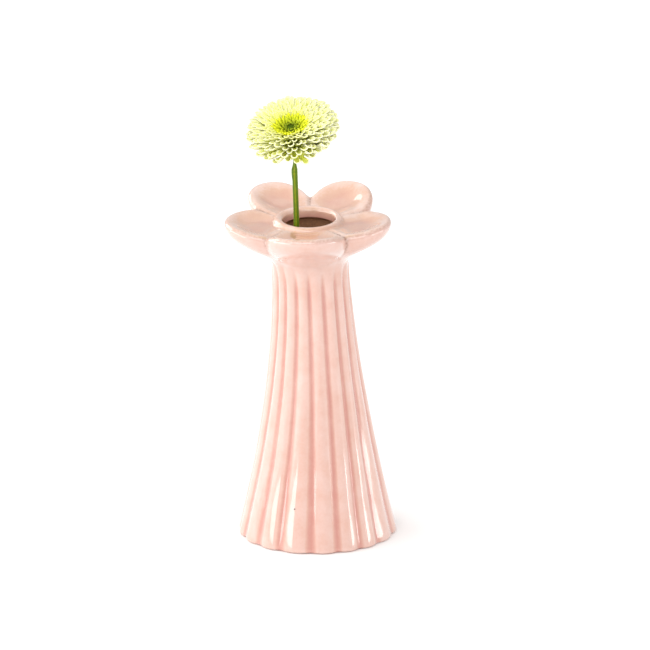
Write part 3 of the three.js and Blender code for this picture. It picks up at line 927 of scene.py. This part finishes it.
class DAISY_OT_eye(Operator):
    """Set a cluster of unopened buds in the middle of the head"""

    bl_idname = "daisy.eye"
    bl_label = "Eye"

    def execute(self, context):
        head = head_matrix(context.scene.daisy_flower)
        chance = random.Random(5)
        dome = draw_line("eye_dome", [(radius * MM, 0, EYE_BOTTOM + z * MM) for radius, z in EYE_DOME])
        spin_line(dome, 12)
        smooth(dome, 1)
        dome.data.transform(head)
        pieces = [dome]
        for index in range(EYE_BUDS):
            radius = EYE_BUD_REACH * math.sqrt((index + 0.5) / EYE_BUDS)
            turn = index * GOLDEN_ANGLE
            top = EYE_BOTTOM + (1.3 - 0.25 * (radius / MM) ** 2) * MM
            deselect_all()
            bpy.ops.mesh.primitive_cone_add(
                vertices=6, radius1=0.3 * MM, radius2=0.1 * MM, depth=EYE_BUD_HEIGHT
            )
            bud = bpy.context.object
            lean = Matrix.Rotation(turn, 4, "Z") @ Matrix.Rotation(-0.25, 4, "Y")
            place = Matrix.Translation((radius * math.cos(turn), radius * math.sin(turn), top)) @ lean
            bud.data.transform(head @ place @ Matrix.Scale(chance.uniform(0.85, 1.15), 4))
            smooth(bud, 1)
            pieces.append(bud)
        eye = join_pieces("eye_buds", pieces)
        dress(eye, eye_skin())
        hand_in(eye, "eye_bud", "eye")
        return {"FINISHED"}


# Rows of scales from the stem up to the lowest petals: how many, their lean from the head's axis in degrees,
# the radius and height of their feet in millimetres, and their length and breadth beside the template's.
BRACT_ROWS = ((13, 66, 3.2, -4.4, 0.6, 0.62), (15, 53, 5.3, -3.5, 0.62, 0.8), (17, 18, 8.0, -1.8, 0.56, 0.95))


class DAISY_OT_bracts(Operator):
    """Spin the green cup under the head and lay three rows of pointed scales over it"""

    bl_idname = "daisy.bracts"
    bl_label = "Bracts"

    def execute(self, context):
        sizes = context.scene.daisy_flower
        head = head_matrix(sizes)
        outside = [(2.3, -4.3), (3.2, -4.1), (6.2, -2.7), (7.8, -1.4), (8.2, -0.8)]
        inside = [(7.8, -0.5), (5.7, -1.9), (3.1, -3.4), (2.3, -3.6), (2.3, -4.3)]
        cup = draw_line("bract_cup", [(radius * MM, 0, z * MM) for radius, z in outside + inside])
        spin_line(cup, 26)
        smooth(cup, 1)
        cup.data.transform(head)
        pieces = [cup]
        scale = self.scale_template()
        chance = random.Random(3)
        for row, (count, degrees, radius, z, size, broad) in enumerate(BRACT_ROWS):
            for index in range(count):
                turn = (index + 0.5 * row) / count * 2 * math.pi
                lean = (degrees + chance.gauss(0, 2)) * DEGREE
                matrix = place_petal(head, turn, (radius * MM, z * MM), lean, 0, (size, broad, size))
                pieces.append(copy_petal(scale, "bract", matrix, 0.5 * row, chance.random()))
        bpy.data.objects.remove(scale)
        bracts = join_pieces("bract_cup", pieces)
        dress(bracts, bract_skin())
        hand_in(bracts, "bract_green", "bracts")
        return {"FINISHED"}

    def scale_template(self):
        """One pointed scale, standing on Z, with its back to +X."""
        sections = ((0, 1.2), (1.8, 1.7), (3.6, 1.75), (5.2, 1.3), (6.4, 0.7), (7.2, 0.18))
        bow = [(-0.25, -1.0), (0.1, -0.5), (0.2, 0), (0.1, 0.5), (-0.25, 1.0)]
        scale = draw_line("bract_scale", [(x * MM, y * sections[0][1] * MM, 0) for x, y in bow])
        edit(scale)
        for (low, wide), (high, narrow) in zip(sections, sections[1:]):
            bow_in = -0.016 * (high**2 - low**2) * MM
            extrude((bow_in, 0, (high - low) * MM))
            bpy.ops.transform.resize(value=(1, narrow / wide, 1), center_override=(0, 0, high * MM))
        bpy.ops.object.mode_set(mode="OBJECT")
        apply_modifier(scale, "SOLIDIFY", thickness=0.35 * MM, offset=0)
        tip = sections[-1][0] * MM
        set_values(scale, "reach", [vertex.co.z / tip for vertex in scale.data.vertices])
        smooth(scale, 1)
        return scale


class DAISY_OT_stem(Operator):
    """Draw the stem from the hollow's floor to the head and raise its fine ribs"""

    bl_idname = "daisy.stem"
    bl_label = "Stem"

    def execute(self, context):
        sizes = context.scene.daisy_flower
        points = self.path(head_matrix(sizes))
        deselect_all()
        bpy.ops.curve.primitive_bezier_curve_add()
        stem = bpy.context.object
        stem.name = "flower_stem"
        spline = stem.data.splines[0]
        spline.bezier_points.add(len(points) - 2)
        for knot, place in zip(spline.bezier_points, points):
            knot.co = place
            knot.handle_left_type = "AUTO"
            knot.handle_right_type = "AUTO"
            knot.radius = 1 if place.z < NODE_HEIGHT else NECK_SHARE
        stem.data.dimensions = "3D"
        stem.data.bevel_depth = sizes.stem_radius * 0.96
        stem.data.bevel_resolution = 7
        stem.data.resolution_u = 60
        stem.data.use_fill_caps = True
        pick(stem)
        bpy.ops.object.convert(target="MESH")
        edit(stem)
        close_shell()
        self.raise_ribs(stem)
        smooth(stem, 0)
        dress(stem, stem_skin())
        hand_in(stem, "stem_skin", "stem")
        return {"FINISHED"}

    def path(self, head):
        """The stem's knots, from the hollow's floor to just under the head."""
        lean = (STEM_NECK_Y - STEM_FOOT_Y) / (STEM_NECK_Z - FLOOR_THICKNESS)
        points = [
            Vector((STEM_X, STEM_FOOT_Y + lean * (z - FLOOR_THICKNESS), z))
            for z in (FLOOR_THICKNESS + 0.6 * MM, 60 * MM, 120 * MM, STEM_NECK_Z)
        ]
        top = head @ Vector((0, 0, RECEPTACLE_BOTTOM - 0.9 * MM))
        bend = Vector((STEM_BEND, 0, 0))
        points += [points[-1].lerp(top, share) - bend for share in (0.78, 0.88)]
        return [*points, top]

    def raise_ribs(self, stem):
        """Low ribs run up the stem with a fine grain of bumps, and a leaf scar swells under the node."""
        ribs = []
        for vertex in stem.data.vertices:
            normal = vertex.normal
            turn = math.atan2(normal.y, normal.x)
            rib = 0.5 + 0.5 * math.cos(STEM_RIBS * turn + 2)
            grain = noise.noise(Vector((turn * 1.3, 0, vertex.co.z / GRAIN_SIZE)))
            if abs(normal.z) < 0.7:
                from_scar = abs(vertex.co.z - NODE_HEIGHT + SCAR_BELOW_NODE)
                scar = smoothstep(5 * MM, 0, from_scar) * max(0.0, -normal.x)
                vertex.co += normal * (RIB_HEIGHT * rib + GRAIN_HEIGHT * grain + SCAR_HEIGHT * scar)
            ribs.append(rib + 0.35 * grain)
        # These values also paint the stem's paler highlight streaks along its ribs and grain.
        set_values(stem, "rib", ribs)


# Materials

# Almost all values of a noise texture lie between these.
NOISE_SPREAD = {"From Min": 0.3, "From Max": 0.7}
SPECK_PLACE = Vector((-12.2, -35.4, 23.6)) * MM


def set_inputs(node, inputs):
    """Links each input that is given as a socket and sets any other."""
    for key, value in inputs.items():
        if isinstance(value, bpy.types.NodeSocket):
            node.id_data.links.new(value, node.inputs[key])
        else:
            node.inputs[key].default_value = value


def add_node(tree, kind, output, inputs=None, stops=(), **settings):
    """Adds a shader node with its settings, inputs and colour stops, and returns the output to read."""
    node = tree.nodes.new("ShaderNode" + kind)
    for key, value in settings.items():
        setattr(node, key, value)
    set_inputs(node, inputs or {})
    if stops:
        elements = node.color_ramp.elements
        while len(elements) < len(stops):
            elements.new(0.5)
        for element, (place, shade) in zip(elements, stops):
            element.position = place
            element.color = (*shade, 1)
    return node.outputs[output]


def new_material(name):
    """Starts a material: returns it, the function that adds its nodes, and its Principled shader."""
    material = bpy.data.materials.new(name)
    material.use_nodes = True
    tree = material.node_tree
    return material, partial(add_node, tree), tree.nodes["Principled BSDF"]


@lru_cache(maxsize=None)
def pink_glaze():
    """Glossy pink glaze dipped over white earthenware: it runs thin and pale over ribs and rims, gathers
    pinker in the grooves, lets the clay show brown in pinched creases, and has one iron speck."""
    colours = bpy.context.scene.daisy_glaze
    material, add, shader = new_material("Dipped pink glaze on earthenware")
    place = add("TexCoord", "Object")
    cloud_size = 9 * MM
    grain_size = 1.3 * MM
    ripple_size = 14 * MM
    clouds, grain, ripple = [
        add("TexNoise", "Fac", {"Vector": place, "Scale": 1 / size, "Detail": detail})
        for size, detail in ((cloud_size, 3.0), (grain_size, 2.0), (ripple_size, 1.0))
    ]
    thickness, peach, stain = [
        add("Attribute", "Fac", attribute_name=name) for name in ("pooling", "peach", "stain")
    ]
    for pattern, drift in ((clouds, 0.13), (grain, 0.05)):
        spread = {"Value": pattern, **NOISE_SPREAD, "To Min": -drift, "To Max": drift}
        drifted = add("MapRange", "Result", spread)
        thickness = add("Math", "Value", {0: thickness, 1: drifted}, operation="ADD")
    cool_stops = ((0.0, colours.thin), (0.3, colours.body), (1.0, colours.pooled))
    warm_stops = ((0.0, colours.rim), (0.3, colours.peach), (1.0, colours.pooled))
    cool = add("ValToRGB", "Color", {"Fac": thickness}, cool_stops)
    warm = add("ValToRGB", "Color", {"Fac": thickness}, warm_stops)
    shade = add("Mix", "Result", {"Factor": peach, "A": cool, "B": warm}, data_type="RGBA")

    crumbling = {"Value": grain, "From Min": 0.35, "From Max": 0.6, "To Min": 0.35, "To Max": 1.0}
    broken = add("MapRange", "Result", crumbling)
    stained = add("Math", "Value", {0: stain, 1: broken}, operation="MULTIPLY")
    apart = add("VectorMath", "Value", {0: place, 1: SPECK_PLACE}, operation="DISTANCE")
    edge = {"Value": apart, "From Min": 0.7 * MM, "From Max": 0.35 * MM}
    specked = add("MapRange", "Result", edge)
    for share, mark in ((stained, colours.stain), (specked, colours.speck)):
        mixed = {"Factor": share, "A": shade, "B": (*mark, 1)}
        shade = add("Mix", "Result", mixed, data_type="RGBA")

    height = {"Height": ripple, "Strength": 0.25, "Distance": 0.6 * MM}
    normal = add("Bump", "Normal", height)
    set_inputs(shader, {"Base Color": shade, "Normal": normal, "Roughness": 0.12, "IOR": 1.55})
    set_inputs(shader, {"Coat Weight": 1.0, "Coat Roughness": 0.03, "Coat IOR": 1.55})
    return material


@lru_cache(maxsize=None)
def bare_clay():
    """Brown clay inside the hollow, dark to paint the shade deep inside it: dry and faintly gritty."""
    clay = bpy.context.scene.daisy_glaze.clay
    material, add, shader = new_material("Bare fired clay")
    place = add("TexCoord", "Object")
    grit_size = 0.8 * MM
    grit = add("TexNoise", "Fac", {"Vector": place, "Scale": 1 / grit_size, "Detail": 4.0})
    stops = ((0.3, [0.7 * share for share in clay]), (0.7, clay))
    shade = add("ValToRGB", "Color", {"Fac": grit}, stops)
    normal = add("Bump", "Normal", {"Height": grit, "Strength": 0.3, "Distance": 0.2 * MM})
    set_inputs(shader, {"Base Color": shade, "Normal": normal, "Roughness": 0.85})
    return material


@lru_cache(maxsize=None)
def petal_skin():
    """Soft petal tissue with light passing through it: lime at the foot and cream at the tip of an opened
    petal, yellow-green in the young ones and olive in the tight buds. The lime at the feet and in the
    channels is painted brighter than the tips, as painted light in the shaded depths of the head."""
    colours = bpy.context.scene.daisy_plant
    material, add, shader = new_material("Daisy petal tissue")
    reach, youth, tone, throat = [
        add("Attribute", "Fac", attribute_name=name)
        for name in ("reach", "youth", "tone", "throat")
    ]
    tips = (colours.petal_tip, colours.half_grown, colours.young_tip, colours.bud_tip)
    tip_stops = tuple(zip((0.0, 0.35, 0.5, 1.0), tips))
    # The bright lime of the feet and channels is partly the petals' own colour and partly painted light for
    # the shaded depths.
    foot_stops = ((0.0, colours.petal_foot), (0.5, colours.young_foot), (1.0, colours.eye))
    tip = add("ValToRGB", "Color", {"Fac": youth}, tip_stops)
    foot = add("ValToRGB", "Color", {"Fac": youth}, foot_stops)
    shift = add("MapRange", "Result", {"Value": tone, "To Min": -0.08, "To Max": 0.08})
    along = add("Math", "Value", {0: reach, 1: shift}, operation="ADD")
    span = {"Value": along, "From Min": 0.4, "From Max": 0.9}
    opening = add("MapRange", "Result", span, interpolation_type="SMOOTHSTEP")
    shade = foot
    for share, colour_there in ((opening, tip), (throat, (*colours.petal_throat, 1))):
        mixed = {"Factor": share, "A": shade, "B": colour_there}
        shade = add("Mix", "Result", mixed, data_type="RGBA")
    place = add("TexCoord", "Object")
    vein_size = 0.5 * MM
    veins = add("TexNoise", "Fac", {"Vector": place, "Scale": 1 / vein_size, "Detail": 2.0})
    height = {"Height": veins, "Strength": 0.2, "Distance": 0.05 * MM}
    normal = add("Bump", "Normal", height)
    set_inputs(shader, {"Base Color": shade, "Normal": normal, "Roughness": 0.55, "Specular IOR Level": 0.3})
    set_inputs(shader, {"Subsurface Weight": 0.6, "Subsurface Scale": 1.5 * MM})
    set_inputs(shader, {"Subsurface Radius": (1, 1, 0.5)})
    return material


@lru_cache(maxsize=None)
def eye_skin():
    """Unopened florets: dark green and matt, a little lighter in patches."""
    eye = bpy.context.scene.daisy_plant.eye
    material, add, shader = new_material("Unopened floret skin")
    place = add("TexCoord", "Object")
    patch_size = 0.7 * MM
    patches = add("TexNoise", "Fac", {"Vector": place, "Scale": 1 / patch_size, "Detail": 1.0})
    stops = ((0.35, eye), (0.7, [min(1.0, 1.7 * share) for share in eye]))
    shade = add("ValToRGB", "Color", {"Fac": patches}, stops)
    set_inputs(shader, {"Base Color": shade, "Roughness": 0.7, "Specular IOR Level": 0.15})
    return material


@lru_cache(maxsize=None)
def bract_skin():
    """Leafy green scales with paler, papery edges and tips."""
    colours = bpy.context.scene.daisy_plant
    material, add, shader = new_material("Leafy bract skin")
    reach = add("Attribute", "Fac", attribute_name="reach")
    stops = ((0.0, colours.bract), (0.75, colours.bract), (1.0, colours.bract_tip))
    shade = add("ValToRGB", "Color", {"Fac": reach}, stops)
    place = add("TexCoord", "Object")
    grain_size = 0.6 * MM
    grain = add("TexNoise", "Fac", {"Vector": place, "Scale": 1 / grain_size, "Detail": 2.0})
    spread = {"Value": grain, **NOISE_SPREAD, "To Min": 0.8, "To Max": 1.1}
    dapple = add("MapRange", "Result", spread)
    dappled = add("VectorMath", "Vector", {0: shade, "Scale": dapple}, operation="SCALE")
    set_inputs(shader, {"Base Color": dappled, "Roughness": 0.55})
    return material


@lru_cache(maxsize=None)
def stem_skin():
    """Waxy green stem skin with a fine grain of bumps: its raised ribs are painted paler, as painted
    highlight streaks.
    """
    colours = bpy.context.scene.daisy_plant
    material, add, shader = new_material("Waxy stem skin")
    rib = add("Attribute", "Fac", attribute_name="rib")
    stops = ((0.3, colours.stem), (1.0, colours.stem_streak))
    shade = add("ValToRGB", "Color", {"Fac": rib}, stops)
    set_inputs(shader, {"Base Color": shade, "Roughness": 0.42, "IOR": 1.45, "Specular IOR Level": 0.3})
    return material


@lru_cache(maxsize=None)
def table_acrylic():
    """The white acrylic of a light table: matt, faintly clouded and softly lit from below."""
    settings = bpy.context.scene.daisy_stage
    material, add, shader = new_material("White light-table acrylic")
    place = add("TexCoord", "Object")
    cloud_size = 40 * MM
    clouds = add("TexNoise", "Fac", {"Vector": place, "Scale": 1 / cloud_size})
    stops = ((0.3, [0.98 * share for share in settings.floor]), (0.7, settings.floor))
    shade = add("ValToRGB", "Color", {"Fac": clouds}, stops)
    set_inputs(shader, {"Base Color": shade, "Roughness": 0.9})
    set_inputs(shader, {"Emission Color": (1, 1, 1, 1), "Emission Strength": settings.glow})
    return material


# The stage

# The camera was matched to the reference picture, 650 pixels square: the vase's foot stands on this pixel.
PICTURE = 650
FOOT_PIXEL = Vector((317.85, 529))
PIXEL_SIZE = 0.54 * MM
CAMERA_DISTANCE = 3.0
CAMERA_ELEVATION = 17 * DEGREE
CAMERA_ROLL = 0.7 * DEGREE
SENSOR = 36
TABLE_RADIUS = 12
WINDOW_DISTANCE = 2.2
WINDOWS_FACE = Vector((0, 0, 0.1))
# Each window: the setting of its brightness, how far to the left of the camera and above the table it hangs
# in degrees, and its width and height in metres.
WINDOWS = {
    "left_window": ("left_low", 75, 9, 2.7, 0.7),
    "left_skylight": ("left_high", 60, 40, 2.4, 2.0),
    "back_left_window": ("left_back", 125, 25, 1.6, 1.4),
    "right_window": ("right", -80, 3, 1.3, 0.36),
    "right_lamp": ("lamp", -56, 8, 0.3, 0.3),
    "front_softbox": ("front", 0, 36, 1.8, 0.9),
    "overhead_softbox": ("top", 180, 82, 3.5, 3.5),
}
SNOOT_RISE = 8
SNOOT_ANGLE = 1.8 * DEGREE
SNOOT_RADIUS = 0.02
SNOOT_SOFTNESS = 0.4


class DAISY_OT_stage(Operator):
    """Lay the pale floor, hang the windows and set the camera"""

    bl_idname = "daisy.stage"
    bl_label = "Stage"

    def execute(self, context):
        settings = context.scene.daisy_stage
        self.table()
        self.sky(context.scene, settings)
        for name, (setting, left, rise, width, height) in WINDOWS.items():
            window = self.light(name, "AREA", WINDOWS_FACE, left, rise)
            window.shape = "RECTANGLE"
            window.size = width
            window.size_y = height
            window.energy = getattr(settings, setting) * math.pi * width * height
        self.snoot(settings.flower)
        self.camera(context.scene)
        return {"FINISHED"}

    def table(self):
        """The round pale table that everything stands on."""
        deselect_all()
        bpy.ops.mesh.primitive_circle_add(vertices=96, radius=TABLE_RADIUS, fill_type="NGON")
        table = bpy.context.object
        table.name = "light_table"
        dress(table, table_acrylic())

    def sky(self, scene, settings):
        """An even white fill from all round, and plain colour with no film look."""
        scene.world = bpy.data.worlds.new("soft_fill")
        scene.world.use_nodes = True
        background = scene.world.node_tree.nodes["Background"]
        background.inputs["Color"].default_value = (1, 1, 1, 1)
        background.inputs["Strength"].default_value = settings.sky
        scene.view_settings.view_transform = "Standard"

    def light(self, name, kind, target, left, rise):
        """A light that faces a target, so many degrees to the left of the camera and above the target."""
        left *= DEGREE
        rise *= DEGREE
        away = Vector((-math.sin(left) * math.cos(rise), -math.cos(left) * math.cos(rise), math.sin(rise)))
        deselect_all()
        bpy.ops.object.light_add(type=kind, location=target + away * WINDOW_DISTANCE)
        light = bpy.context.object
        light.name = name
        light.rotation_euler = away.to_track_quat("Z", "Y").to_euler()
        return light.data

    def snoot(self, power):
        """A narrow soft beam from over the camera that lights the flower's head alone."""
        beam = self.light("flower_snoot", "SPOT", HEAD_CENTRE, 0, SNOOT_RISE)
        beam.energy = power
        beam.shadow_soft_size = SNOOT_RADIUS
        beam.spot_size = SNOOT_ANGLE
        beam.spot_blend = SNOOT_SOFTNESS

    def camera(self, scene):
        """A camera that looks down on the vase as the picture does."""
        view = Vector((0, math.cos(CAMERA_ELEVATION), -math.sin(CAMERA_ELEVATION)))
        level_right = Vector((1, 0, 0))
        level_up = level_right.cross(view)
        right = level_right * math.cos(CAMERA_ROLL) - level_up * math.sin(CAMERA_ROLL)
        up = level_up * math.cos(CAMERA_ROLL) + level_right * math.sin(CAMERA_ROLL)
        off_centre = Vector((PICTURE / 2, PICTURE / 2)) - FOOT_PIXEL
        aim = (right * off_centre.x - up * off_centre.y) * PIXEL_SIZE
        deselect_all()
        bpy.ops.object.camera_add()
        camera = bpy.context.object
        turn = Matrix((right, up, -view)).transposed().to_4x4()
        camera.matrix_world = Matrix.Translation(aim - view * CAMERA_DISTANCE) @ turn
        camera.data.sensor_width = SENSOR
        camera.data.lens = SENSOR * CAMERA_DISTANCE / (PICTURE * PIXEL_SIZE)
        scene.camera = camera


# The add-on

OPERATORS = (
    DAISY_OT_vase,
    DAISY_OT_stem,
    DAISY_OT_bracts,
    DAISY_OT_outer_petals,
    DAISY_OT_inner_head,
    DAISY_OT_eye,
    DAISY_OT_stage,
)
SETTINGS = {
    "daisy_vase": VaseSizes,
    "daisy_flower": FlowerSizes,
    "daisy_glaze": GlazeColours,
    "daisy_plant": PlantColours,
    "daisy_stage": StageLight,
}


class DAISY_PT_panel(Panel):
    bl_idname = "DAISY_PT_panel"
    bl_label = "Daisy Stem in Vase"
    bl_space_type = "VIEW_3D"
    bl_region_type = "UI"
    bl_category = "Daisy Vase"

    def draw(self, context):
        for name, group in SETTINGS.items():
            box = self.layout.box()
            for key in group.__annotations__:
                box.prop(getattr(context.scene, name), key)
        for operator in OPERATORS:
            self.layout.operator(operator.bl_idname)


def register():
    for group in SETTINGS.values():
        bpy.utils.register_class(group)
    for name, group in SETTINGS.items():
        setattr(bpy.types.Scene, name, PointerProperty(type=group))
    for operator in OPERATORS:
        bpy.utils.register_class(operator)
    bpy.utils.register_class(DAISY_PT_panel)


def unregister():
    bpy.utils.unregister_class(DAISY_PT_panel)
    for operator in reversed(OPERATORS):
        bpy.utils.unregister_class(operator)
    for name, group in SETTINGS.items():
        delattr(bpy.types.Scene, name)
        bpy.utils.unregister_class(group)


def main():
    register()
    for operator in OPERATORS:
        group, name = operator.bl_idname.split(".")
        getattr(getattr(bpy.ops, group), name)()


if __name__ == "__main__":
    main()
